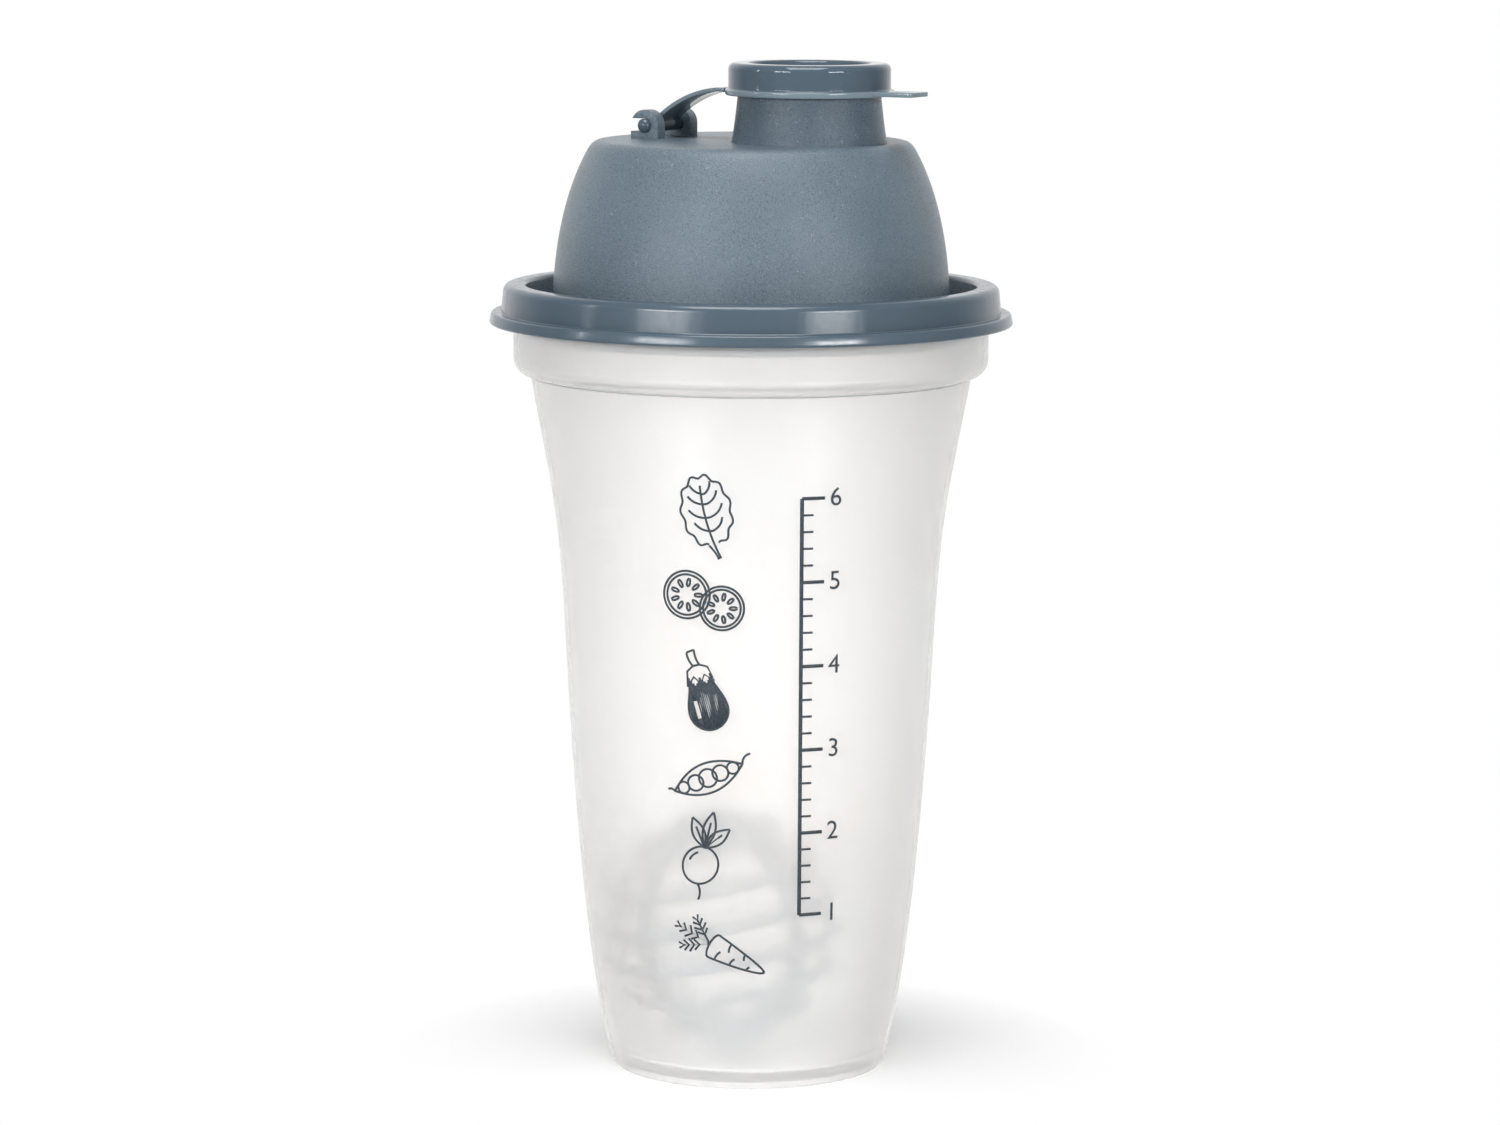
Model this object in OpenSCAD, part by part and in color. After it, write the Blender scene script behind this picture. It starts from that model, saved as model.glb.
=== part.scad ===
// Salad dressing shaker: a translucent tumbler, a domed lid with a pouring spout,
// a hinged stopper and a loose mixing ball. Millimetres, +Z up.
// The origin is the centre of the foot. The stopper's hinge lies towards -X.

/* [Tumbler] */
// Height from the table to the lip
tumbler_h = 153.5; // [140:0.5:175]
// Diameter at the foot
foot_d = 54.8; // [50.4:0.2:60]
// Diameter at the waist, where the wall turns from bulging to flaring
waist_d = 72.6; // [69:0.2:76]
// Height of the waist
waist_z = 80; // [65:1:95]
// Diameter of the wall just under the collar
mouth_d = 87; // [84:0.2:89]
// Height of the collar, from its lower edge to the lip
collar_h = 15.1; // [13.5:0.1:24]
// How far the collar stands out of the wall under it
collar_step = 3.35; // [2.4:0.05:5]
// Thickness of the tumbler's wall
wall = 1.6; // [1.2:0.1:2.2]
// Thickness of the tumbler's floor
floor_t = 2; // [1.5:0.1:4]
// How far the floor's underside is raised inside the foot ring
foot_recess = 1.2; // [0.6:0.1:3]
// Width of the foot ring
foot_ring_w = 2.6; // [2:0.1:5]
// Rounding of the foot's outer edge
foot_round = 0.8; // [0.4:0.1:1.2]
// Radius of the corner between floor and wall
floor_fillet = 3; // [1:0.5:8]

/* [Lid rim] */
// Gap between the lid's channel and the tumbler's collar
channel_gap = 0.3; // [0.2:0.05:0.5]
// Height of the rim, from the pull bead's underside to the rim's top
rim_h = 7.8; // [6:0.1:9.5]
// Thickness of the rim above the tumbler's lip
rim_roof = 2.5; // [2:0.1:4]
// Thickness of the rim's outer skirt
skirt_t = 1.95; // [1.5:0.05:3]
// How far the pull bead stands out of the skirt
bead_out = 2.5; // [1.5:0.1:4]
// Height of the pull bead
bead_h = 2.3; // [1.8:0.1:3]
// Thickness of the seal leg inside the tumbler's mouth, at its foot
leg_t = 1.4; // [1:0.1:2]
// How far the seal leg reaches below the gutter
leg_drop = 1.2; // [0.8:0.1:3]
// Draft of the gutter's outer wall, from its floor to the rim
gutter_draft = 0.85; // [0.2:0.05:1.2]
// Depth of the gutter between rim and dome
gutter_depth = 7.3; // [5:0.1:8]

/* [Dome] */
// Thickness of the dome
lid_wall = 1.7; // [1.2:0.1:2.4]
// Diameter of the dome at the gutter's floor
dome_d = 78.4; // [74:0.2:80]
// Height of the dome's flat top above the rim
dome_h = 28.2; // [20:0.2:40]
// Diameter where the dome's side meets its rounded shoulder
shoulder_d = 64.6; // [62:0.2:67]
// Height of the rounded shoulder
shoulder_h = 1.9; // [1.2:0.1:3]
// Diameter of the flat top
flat_d = 59; // [57:0.2:61]

/* [Spout] */
// Distance of the spout's axis from the lid's axis, towards +X
spout_x = 12.9; // [10:0.1:13.4]
// Height of the spout above the flat top
spout_h = 13.3; // [11:0.1:18]
// Outer diameter at the foot of the spout
spout_foot_d = 30.4; // [29.6:0.1:31.6]
// Outer diameter at the spout's lip
spout_lip_d = 27.4; // [26.8:0.1:28]
// Diameter of the spout's bore
spout_bore_d = 24.8; // [24.4:0.1:25.2]

/* [Stopper] */
// Outer diameter of the ring cap
cap_d = 31.8; // [31.2:0.1:34]
// Thickness of the ring cap's outer wall
cap_wall = 1.2; // [0.8:0.05:1.4]
// Height of the ring cap, flange included
cap_h = 6.3; // [5.4:0.1:7]
// Thickness of the cap over the spout's lip
cap_roof = 1.9; // [1.5:0.1:2.6]
// Gap between the spout's lip and the cap's roof
cap_gap = 0.3; // [0.2:0.05:0.6]
// How far the flange stands out of the cap's wall
flange_out = 0.6; // [0.4:0.1:2]
// Thickness of the flange
flange_t = 1.2; // [1:0.1:1.8]
// Diameter of the recess in the cap's top
recess_d = 23.2; // [21.4:0.1:23.6]
// Diameter of the recess at its floor
recess_floor_d = 20.4; // [18:0.1:20.8]
// Depth of the recess
recess_depth = 4; // [3:0.1:4.4]
// Diameter of the plug where it leaves the cap's roof
plug_d = 24.2; // [23.6:0.1:24.3]
// Diameter of the plug at its tip
plug_tip_d = 21.6; // [20:0.1:21.7]
// How far the plug reaches below the spout's lip
plug_depth = 3; // [2.4:0.1:3.2]
// Reach of the thumb tab, from the spout's axis
tab_reach = 24.5; // [20:0.1:32]
// Width of the thumb tab
tab_w = 7.4; // [6:0.1:14]
// Radius of the thumb tab's corners
tab_corner = 0.9; // [0.5:0.1:2.8]
// Thickness of the thumb tab
tab_t = 0.9; // [0.7:0.1:1.2]

/* [Strap and hinge] */
// Distance from the hinge pin to the spout's axis
hinge_reach = 33; // [30:0.1:34.5]
// Height of the hinge pin above the flat top
pin_h = 2.55; // [2.4:0.05:3]
// Diameter of the hinge pin
pin_d = 2.8; // [2.4:0.05:3.2]
// Running gap between the pin and its clips
pin_gap = 0.1; // [0.05:0.01:0.1]
// Length of each domed end of the pin
pin_dome = 1.1; // [0.6:0.1:1.3]
// Width of the strap
strap_w = 8.4; // [7:0.1:9]
// Width of the strap where it spreads into the flange
strap_flare_w = 13; // [10:0.1:16]
// Length over which the strap spreads
strap_flare_l = 3.6; // [2:0.1:6]
// Thickness of the strap
strap_t = 0.8; // [0.6:0.05:1.2]
// How far the strap's middle passes over the pin's centre
strap_rise = 0.33; // [0:0.01:0.5]
// Gap at the line where the strap bends against the flange
flex_gap = 0.3; // [0.2:0.05:0.5]
// Distance between the middles of the two clips
clip_spacing = 12.6; // [12:0.1:16]
// Thickness of each clip
clip_w = 2.7; // [1.6:0.1:3]
// Outer radius of each clip
clip_r = 3.1; // [2.6:0.05:3.6]
// Reach of the clip's lower jaw, from the pin's centre
jaw_reach = 3.1; // [2.8:0.1:4.5]
// Height of the jaw's top below the pin's centre
jaw_drop = 1.15; // [1:0.05:1.3]
// Height of the hook's underside above the pin's centre
hook_rise = 1.38; // [1.2:0.01:1.4]

/* [Mixing ball] */
// Diameter of the ball
ball_d = 48; // [40:0.5:50]
// Thickness of the ball's round rings
ball_bar = 2.3; // [1.6:0.1:3]
// Distance between two rings
ring_step = 7.2; // [5:0.1:9]
// Number of rings
ring_count = 6; // [4:1:6]
// Diameter of the cap at each pole
pole_d = 12; // [10:0.5:20]
// Thickness of the upright webs that carry the rings
web_t = 1.6; // [1:0.1:2.5]
// Width of the upright webs
web_w = 3.6; // [3:0.1:9]
// Distance of the ball's middle from the tumbler's axis
ball_shift = 5.2; // [0:0.1:5.4]
// Direction in which the ball has rolled aside, in degrees from +X
ball_side = 210; // [0:5:360]
// How far the ball lies tilted, in degrees
ball_tilt = 10; // [0:1:45]
// Gap between the ball and the floor
ball_gap = 0.2; // [0.1:0.05:0.5]

/* [Hidden] */
$fn = 96;

slate = [0.38, 0.43, 0.47];
frosted = [0.93, 0.93, 0.92, 0.6];
eps = 0.01;
curve_steps = 12;
round_steps = 5;

floor_z = foot_recess + floor_t;
collar_z = tumbler_h - collar_h;
foot_r = foot_d / 2;
waist_r = waist_d / 2;
mouth_r = mouth_d / 2;
collar_r = mouth_r + collar_step;
lip_round = wall / 2;

// The channel under the rim straddles the tumbler's lip
roof_z = tumbler_h + channel_gap;
rim_z = roof_z + rim_roof;
skirt_z = rim_z - rim_h;
channel_out_r = collar_r + channel_gap;
leg_out_r = collar_r - wall - channel_gap;
leg_in_r = leg_out_r - leg_t;
skirt_r = channel_out_r + skirt_t;
skirt_draft = 0.2;
bead_r = skirt_r + bead_out;
bead_round = min(0.9, bead_h * 0.4, bead_out * 0.4);
rim_round = min(1.5, skirt_t * 0.75);
gutter_z = rim_z - gutter_depth;
gutter_round = 0.8;
leg_chamfer = 0.5;

dome_r = dome_d / 2;
shoulder_r = shoulder_d / 2;
flat_r = flat_d / 2;
top_z = rim_z + dome_h;

spout_foot_r = spout_foot_d / 2;
spout_lip_r = spout_lip_d / 2;
bore_r = spout_bore_d / 2;
lip_t = spout_lip_r - bore_r;
spout_z = top_z + spout_h;

// The stopper sits on the spout and reaches over its lip on both sides
cap_r = cap_d / 2;
cap_in_r = cap_r - cap_wall;
cap_top_z = spout_z + cap_gap + cap_roof;
flange_z = cap_top_z - cap_h;
flange_top_z = flange_z + flange_t;
flange_r = cap_r + flange_out;
flange_round = 0.3;
cap_round = 1.3;
recess_round = 0.8;
recess_r = recess_d / 2;
recess_floor_r = recess_floor_d / 2;
plug_r = plug_d / 2;
plug_tip_r = plug_tip_d / 2;

pin_x = spout_x - hinge_reach;
pin_z = top_z + pin_h;
pin_r = pin_d / 2;
clip_out_y = clip_spacing / 2 + clip_w / 2;
// The strap is an arc that runs level into the flange and down through the pin
strap_end_x = spout_x - flange_r;
strap_run = strap_end_x - pin_x;
strap_fall = flange_top_z - pin_z;
strap_bite = strap_t / 2 + strap_rise;
strap_r = (strap_run ^ 2 + strap_fall ^ 2 - strap_bite ^ 2) / (2 * (strap_fall - strap_bite));

ball_r = ball_d / 2;
ball_x = ball_shift * cos(ball_side);
ball_y = ball_shift * sin(ball_side);
ball_z = floor_z + ball_gap + ball_r;

// Points of a cubic curve from a to d, steered by b and c
function curve(a, b, c, d, steps = curve_steps) =
    [for (i = [0:steps]) let (t = i / steps, u = 1 - t)
        u ^ 3 * a + 3 * u ^ 2 * t * b + 3 * u * t ^ 2 * c + t ^ 3 * d];

// Points of an arc about a centre, between two angles
function arc(centre, r, from, to, steps = round_steps) =
    [for (i = [0:steps]) let (angle = from + (to - from) * i / steps)
        centre + r * [cos(angle), sin(angle)]];

function mix(a, b, share) = a + (b - a) * share;
function reversed(points) = [for (i = [len(points) - 1:-1:0]) points[i]];
function moved(points, by) = [for (p = points) p + by];

// A curve whose two handles are given as shares of its width and height
function eased(a, d, b_share, c_share) =
    curve(a,
          [mix(a.x, d.x, b_share.x), mix(a.y, d.y, b_share.y)],
          [mix(a.x, d.x, c_share.x), mix(a.y, d.y, c_share.y)],
          d);

lower_wall = eased([foot_r, foot_round], [waist_r, waist_z], [0.63, 0.253], [0.914, 0.823]);
upper_wall = eased([waist_r, waist_z], [mouth_r, collar_z], [0.229, 0.565], [0.325, 0.538]);
outer_wall = concat(lower_wall, [for (i = [1:len(upper_wall) - 1]) upper_wall[i]]);
inner_wall = [for (p = moved(outer_wall, [-wall, 0])) if (p.y > floor_z + floor_fillet) p];

dome_side = eased([dome_r, gutter_z], [shoulder_r, top_z - shoulder_h],
                  [0.009, 0.089], [-0.076, 0.598]);
dome_shoulder = curve([shoulder_r, top_z - shoulder_h],
                      [mix(shoulder_r, flat_r, 0.22), top_z - shoulder_h * 0.42],
                      [mix(shoulder_r, flat_r, 0.5), top_z],
                      [flat_r, top_z], 6);
dome_curve = concat([for (p = dome_side) if (p.y > gutter_z + gutter_round) p],
                    [for (i = [1:len(dome_shoulder) - 1]) dome_shoulder[i]]);

module tumbler() {
    color(frosted)
    rotate_extrude()
    polygon(concat(
        [[0, foot_recess],
         [foot_r - foot_ring_w - foot_recess / 2, foot_recess],
         [foot_r - foot_ring_w, 0]],
        arc([foot_r - foot_round, foot_round], foot_round, -90, -15),
        outer_wall,
        arc([mouth_r, collar_z + collar_step], collar_step, -75, 0),
        arc([collar_r - lip_round, tumbler_h - lip_round], lip_round, 0, 180, 8),
        arc([mouth_r, collar_z + collar_step], collar_step - wall, 0, -90),
        [[mouth_r - wall, collar_z + wall]],
        reversed(inner_wall),
        arc([inner_wall[0].x - floor_fillet, floor_z + floor_fillet], floor_fillet, 0, -90),
        [[0, floor_z]]));
}

module lid_shell() {
    color(slate)
    difference() {
        rotate_extrude()
        polygon(concat(
            [[channel_out_r, skirt_z]],
            arc([bead_r - bead_round, skirt_z + bead_round], bead_round, -90, 0),
            arc([bead_r - bead_round, skirt_z + bead_h - bead_round], bead_round, 0, 90),
            [[skirt_r + skirt_draft, skirt_z + bead_h]],
            arc([skirt_r - skirt_draft - rim_round, rim_z - rim_round], rim_round, 0, 90),
            arc([leg_in_r + gutter_draft + recess_round, rim_z - recess_round],
                recess_round, 90, 180),
            arc([leg_in_r - gutter_round, gutter_z + gutter_round], gutter_round, 0, -90),
            arc([dome_r + gutter_round, gutter_z + gutter_round], gutter_round, -90, -165),
            dome_curve,
            [[0, top_z], [0, top_z - lid_wall]],
            reversed(moved([for (p = dome_curve) if (p.y < top_z - eps) p],
                           [-lid_wall, -lid_wall])),
            [[dome_r - lid_wall, gutter_z - lid_wall],
             [leg_in_r, gutter_z - lid_wall],
             [leg_in_r, gutter_z - lid_wall - leg_drop],
             [leg_out_r - leg_chamfer, gutter_z - lid_wall - leg_drop],
             [leg_out_r, gutter_z - lid_wall - leg_drop + leg_chamfer],
             [leg_out_r, roof_z],
             [channel_out_r, roof_z]]));
        translate([spout_x, 0, top_z - lid_wall - 1])
        cylinder(r = bore_r, h = lid_wall + 2);
    }
}

module pour_spout() {
    side_top_z = spout_z - lip_t / 2;
    color(slate)
    translate([spout_x, 0, 0])
    rotate_extrude()
    polygon(concat(
        [[bore_r, top_z]],
        eased([spout_foot_r, top_z], [spout_lip_r, side_top_z], [0.45, 0.31], [0.76, 0.65]),
        arc([bore_r + lip_t / 2, side_top_z], lip_t / 2, 15, 180, 8)));
}

module hinge_clip(y) {
    translate([pin_x, y + clip_w / 2, pin_z])
    rotate([90, 0, 0])
    linear_extrude(height = clip_w)
    difference() {
        union() {
            circle(r = clip_r);
            translate([0, -pin_h])
            square([clip_r, pin_h]);
            translate([-jaw_reach, -pin_h])
            square([jaw_reach, pin_h - jaw_drop]);
        }
        circle(r = pin_r + pin_gap);
        translate([-jaw_reach - 1, -jaw_drop])
        square([jaw_reach + 1, jaw_drop + hook_rise]);
        translate([-clip_r - 1, -pin_h - clip_r])
        square([2 * clip_r + 2, clip_r]);
    }
}

module hinge_clip_front() {
    color(slate)
    hinge_clip(-clip_spacing / 2);
}

module hinge_clip_back() {
    color(slate)
    hinge_clip(clip_spacing / 2);
}

module thumb_tab() {
    translate([spout_x, 0, flange_top_z - tab_t])
    linear_extrude(height = tab_t)
    union() {
        translate([0, -tab_w / 2])
        square([tab_reach - tab_corner, tab_w]);
        translate([0, tab_corner - tab_w / 2])
        square([tab_reach, tab_w - 2 * tab_corner]);
        for (side = [-1, 1])
            translate([tab_reach - tab_corner, side * (tab_w / 2 - tab_corner)])
            circle(r = tab_corner);
    }
}

module stopper_cap() {
    roof_under_z = cap_top_z - cap_roof;
    plug_z = spout_z - plug_depth;
    color(slate)
    union() {
        translate([spout_x, 0, 0])
        rotate_extrude()
        polygon(concat(
            [[0, plug_z]],
            arc([plug_tip_r - 0.5, plug_z + 0.5], 0.5, -90, 0),
            eased([plug_tip_r, plug_z + 0.6], [plug_r, roof_under_z], [0.12, 0.4], [0.5, 0.72]),
            [[cap_in_r, roof_under_z],
             [cap_in_r, flange_z],
             [flange_r - flange_round, flange_z],
             [flange_r, flange_z + flange_round],
             [flange_r, flange_top_z - flange_round],
             [flange_r - flange_round, flange_top_z],
             [cap_r + flange_round / 2, flange_top_z],
             [cap_r, flange_top_z + flange_round]],
            arc([cap_r - cap_round, cap_top_z - cap_round], cap_round, 0, 90),
            arc([recess_r + recess_round, cap_top_z - recess_round], recess_round, 90, 165),
            [[recess_floor_r, cap_top_z - recess_depth + 0.4],
             [recess_floor_r - 0.4, cap_top_z - recess_depth],
             [0, cap_top_z - recess_depth]]));
        difference() {
            thumb_tab();
            translate([spout_x, 0, flange_z - 1])
            cylinder(r = cap_r - cap_wall / 2, h = flange_t + 2);
        }
    }
}

// The strap seen from above: a band that spreads where it meets the round flange
module strap_outline() {
    end_x = spout_x;
    flare_x = strap_end_x - strap_flare_l;
    spread = (strap_flare_w - strap_w) / 2;
    half = strap_w / 2;
    near = eased([flare_x, half], [strap_end_x, half + spread], [0.5, 0], [0.9, 0.4]);
    polygon(concat(
        [[pin_x - strap_r, -half], [flare_x, -half]],
        [for (p = near) [p.x, -p.y]],
        [[end_x, -half - spread], [end_x, half + spread]],
        reversed(near),
        [[pin_x - strap_r, half]]));
}

module strap() {
    arc_x = strap_end_x;
    arc_z = flange_top_z - strap_r;
    color(slate)
    difference() {
        intersection() {
            translate([arc_x, strap_flare_w, arc_z])
            rotate([90, 0, 0])
            linear_extrude(height = 2 * strap_flare_w)
            union() {
                difference() {
                    circle(r = strap_r, $fn = 200);
                    circle(r = strap_r - strap_t, $fn = 200);
                    translate([0, -2 * strap_r])
                    square([2 * strap_r, 4 * strap_r]);
                    translate([-2 * strap_r, -2 * strap_r])
                    square([4 * strap_r, 2 * strap_r + pin_z - arc_z]);
                }
                translate([0, strap_r - strap_t])
                square([flange_r, strap_t]);
            }
            translate([0, 0, pin_z])
            linear_extrude(height = strap_fall + 1)
            strap_outline();
        }
        translate([spout_x, 0, flange_z - 1])
        cylinder(r = flange_r + flex_gap, h = flange_t + 2);
        translate([pin_x, strap_w, pin_z])
        rotate([90, 0, 0])
        cylinder(r = pin_r, h = 2 * strap_w);
    }
}

module hinge_pin() {
    color(slate)
    translate([pin_x, 0, pin_z])
    rotate([90, 0, 0])
    rotate_extrude()
    polygon(concat(
        [[0, -clip_out_y - pin_dome]],
        curve([0, -clip_out_y - pin_dome], [pin_r * 0.55, -clip_out_y - pin_dome],
              [pin_r, -clip_out_y - pin_dome * 0.55], [pin_r, -clip_out_y], 6),
        curve([pin_r, clip_out_y], [pin_r, clip_out_y + pin_dome * 0.55],
              [pin_r * 0.55, clip_out_y + pin_dome], [0, clip_out_y + pin_dome], 6)));
}

module ball_ring(height) {
    translate([0, 0, height])
    rotate_extrude()
    translate([sqrt((ball_r - ball_bar / 2) ^ 2 - height ^ 2), 0])
    circle(r = ball_bar / 2, $fn = 32);
}

module ball_web(turn) {
    rotate([90, 0, turn])
    linear_extrude(height = web_t, center = true)
    difference() {
        circle(r = ball_r - ball_bar / 2);
        circle(r = ball_r - ball_bar / 2 - web_w);
    }
}

module ball_poles() {
    intersection() {
        difference() {
            sphere(r = ball_r);
            sphere(r = ball_r - ball_bar);
        }
        cylinder(r = pole_d / 2, h = 2 * ball_r + 2, center = true);
    }
}

module mixing_ball() {
    color(slate)
    translate([ball_x, ball_y, ball_z])
    rotate([0, 0, ball_side])
    rotate([0, ball_tilt, 0])
    union() {
        for (i = [0:ring_count - 1])
            ball_ring((i - (ring_count - 1) / 2) * ring_step);
        for (turn = [45, 135])
            ball_web(turn);
        ball_poles();
    }
}

tumbler();
lid_shell();
pour_spout();
hinge_clip_front();
hinge_clip_back();
stopper_cap();
strap();
hinge_pin();
mixing_ball();
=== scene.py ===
# %% [markdown]
# # A salad dressing shaker, dressed in Blender
# The shaker has four mouldings: a frosted tumbler, a domed lid, a hinged stopper and a loose mixing ball.
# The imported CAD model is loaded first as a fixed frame. It says where each piece is and how big it is, and the
# pieces made here take its place, with finer surfaces, real finishes and a print on the tumbler.

# %% Load the frame
from math import acos, asin, atan2, cos, degrees, pi, radians, sin, sqrt

import bpy
from mathutils import Matrix, Vector


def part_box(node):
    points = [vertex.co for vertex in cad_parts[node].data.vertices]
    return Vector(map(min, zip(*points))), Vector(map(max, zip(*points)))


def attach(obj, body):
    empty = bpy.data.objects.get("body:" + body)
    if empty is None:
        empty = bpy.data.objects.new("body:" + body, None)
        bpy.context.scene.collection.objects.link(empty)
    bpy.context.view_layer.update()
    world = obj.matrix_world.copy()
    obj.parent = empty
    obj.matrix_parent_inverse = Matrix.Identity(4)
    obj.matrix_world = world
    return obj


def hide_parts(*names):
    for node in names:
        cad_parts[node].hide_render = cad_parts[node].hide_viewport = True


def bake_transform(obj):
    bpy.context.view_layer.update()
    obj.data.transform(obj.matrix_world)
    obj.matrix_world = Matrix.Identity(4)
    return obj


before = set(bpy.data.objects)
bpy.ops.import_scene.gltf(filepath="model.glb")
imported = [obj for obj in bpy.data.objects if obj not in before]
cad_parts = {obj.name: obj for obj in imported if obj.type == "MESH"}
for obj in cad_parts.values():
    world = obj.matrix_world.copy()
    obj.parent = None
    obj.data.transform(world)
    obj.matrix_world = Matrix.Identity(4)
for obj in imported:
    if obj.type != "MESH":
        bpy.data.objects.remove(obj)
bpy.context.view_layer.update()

MM = 0.001

# %% [markdown]
# ## Sizes that the frame gives
# Every piece is measured on its CAD node, in millimetres, so that a piece made here can't drift from the frame.
# The hinge pin gives the hinge's axis, and the spout gives the axis that spout and stopper share.

# %% Measure the nodes


def box_mm(node):
    """The lowest and highest corner of a CAD node, in millimetres."""
    low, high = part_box(node)
    return low / MM, high / MM


tumbler_low, tumbler_high = box_mm("tumbler")
lid_low, lid_high = box_mm("lid_shell")
spout_low, spout_high = box_mm("pour_spout")
cap_low, cap_high = box_mm("stopper_cap")
pin_low, pin_high = box_mm("hinge_pin")
clip_low, clip_high = box_mm("hinge_clip_front")
ball_low, ball_high = box_mm("mixing_ball")

LIP_Z = tumbler_high.z
COLLAR_R = tumbler_high.x
BEAD_R = lid_high.x
TOP_Z = lid_high.z
SPOUT_X = (spout_low.x + spout_high.x) / 2
SPOUT_Z = spout_high.z
SPOUT_FOOT_R = (spout_high.x - spout_low.x) / 2
CAP_TOP_Z = cap_high.z
FLANGE_R = cap_high.y
FLANGE_Z = cap_low.z
TAB_END_X = cap_high.x
PIN_X = (pin_low.x + pin_high.x) / 2
PIN_Z = (pin_low.z + pin_high.z) / 2
PIN_R = (pin_high.x - pin_low.x) / 2
BALL = (ball_low + ball_high) / 2
print(f"lip {LIP_Z:.1f}, dome top {TOP_Z:.1f}, stopper top {CAP_TOP_Z:.1f}, pin at {PIN_X:.1f}, {PIN_Z:.1f}")

# %% [markdown]
# ## Camera
# The photograph looks down on the shaker by about eight degrees through a long lens. Its perspective was solved from
# the ellipses of foot, collar, rim and cap. The picture also leans by a quarter of a degree, so the camera rolls a
# little about its own axis.

# %% Place the camera
CAMERA_AZIMUTH = radians(30)
CAMERA_DISTANCE = 1.0
CAMERA_HEIGHT = 0.243
CAMERA_PITCH = radians(8.10)
CAMERA_ROLL = radians(0.27)
FOCAL_PIXELS = 5082.3
PHOTO_WIDTH = 1500
SENSOR = 36

bpy.ops.object.camera_add(
    location=(
        CAMERA_DISTANCE * sin(CAMERA_AZIMUTH),
        -CAMERA_DISTANCE * cos(CAMERA_AZIMUTH),
        CAMERA_HEIGHT,
    ),
    rotation=(radians(90) - CAMERA_PITCH, 0, CAMERA_AZIMUTH),
)
camera = bpy.context.object
camera.name = "photo_camera"
camera.data.sensor_width = SENSOR
camera.data.lens = FOCAL_PIXELS * SENSOR / PHOTO_WIDTH
camera.data.clip_start = 0.01
camera.rotation_euler = (camera.rotation_euler.to_matrix() @ Matrix.Rotation(CAMERA_ROLL, 3, "Z")).to_euler()
bpy.context.scene.camera = camera
bpy.context.scene.view_settings.view_transform = "Standard"
print(f"lens {camera.data.lens:.1f} mm on a {SENSOR} mm sensor")

# %% [markdown]
# ## Small helpers for node materials
# A procedural material is a handful of nodes. These helpers add a node, set its sockets by name and wire it, so that
# each finish further down reads as a short recipe. Colours are noted as they look on screen, and Blender wants them
# linear, so `screen` converts them.

# %% Node helpers


def screen(red, green, blue):
    """A screen colour from 0 to 255, as the linear colour that shaders use."""
    parts = [value / 255 for value in (red, green, blue)]
    return [p / 12.92 if p <= 0.04045 else ((p + 0.055) / 1.055) ** 2.4 for p in parts] + [1]


def add_node(tree, kind, **sockets):
    """Add a node and set its input sockets, whose names are written with underscores."""
    node = tree.nodes.new(kind)
    for name, value in sockets.items():
        node.inputs[name.replace("_", " ")].default_value = value
    return node


def new_material(name):
    """A material with an empty tree, its output and the object's own coordinates."""
    material = bpy.data.materials.new(name)
    material.use_nodes = True
    tree = material.node_tree
    tree.nodes.clear()
    output = add_node(tree, "ShaderNodeOutputMaterial")
    place = add_node(tree, "ShaderNodeTexCoord")
    return material, tree, output, place.outputs["Object"]


def noise(tree, place, scale, detail=2, roughness=0.5):
    """Cloudy noise from 0 to 1, with its scale in lumps per metre."""
    node = add_node(tree, "ShaderNodeTexNoise", Scale=scale, Detail=detail, Roughness=roughness)
    tree.links.new(place, node.inputs["Vector"])
    return node.outputs["Fac"]


def ramp(tree, value, stops):
    """Colours or greys along a value: stops are (position, colour) pairs."""
    node = add_node(tree, "ShaderNodeValToRGB")
    tree.links.new(value, node.inputs["Fac"])
    elements = node.color_ramp.elements
    elements[0].position, elements[0].color = stops[0]
    elements[1].position, elements[1].color = stops[-1]
    for position, colour in stops[1:-1]:
        elements.new(position).color = colour
    return node.outputs["Color"]


def spread(tree, value, low, high, low_at=0.3, high_at=0.7):
    """Stretch a value that runs about from low_at to high_at to run from low to high."""
    node = add_node(tree, "ShaderNodeMapRange", From_Min=low_at, From_Max=high_at, To_Min=low, To_Max=high)
    tree.links.new(value, node.inputs["Value"])
    return node.outputs["Result"]


def combined(tree, operation, first, second):
    """Two values joined by a sum, a product or another operation of the Math node."""
    node = add_node(tree, "ShaderNodeMath")
    node.operation = operation
    tree.links.new(first, node.inputs[0])
    tree.links.new(second, node.inputs[1])
    return node.outputs["Value"]


def bump(tree, height, strength, distance, under=None):
    """A bump from a height, on top of another bump if one is given."""
    node = add_node(tree, "ShaderNodeBump", Strength=strength, Distance=distance)
    tree.links.new(height, node.inputs["Height"])
    if under:
        tree.links.new(under, node.inputs["Normal"])
    return node.outputs["Normal"]


# %% [markdown]
# ## Stage: floor, world and lamps
# The photograph has a white ground, and two soft boxes stand beside the camera: their bright strips show in the rim.
# The floor is lit and takes the shadow close to the shaker, and further out it turns into plain white, as the world
# is for the camera and for what shows through the frosted wall. Gloss shows that white backdrop too, behind the
# shaker, and on the camera's side it shows the dimmer room. The lamps stay at a level at which a colour renders
# about as it is written.

# %% Build the floor
FLOOR_SIZE = 60
SHADOW_REACH = 0.075

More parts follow.
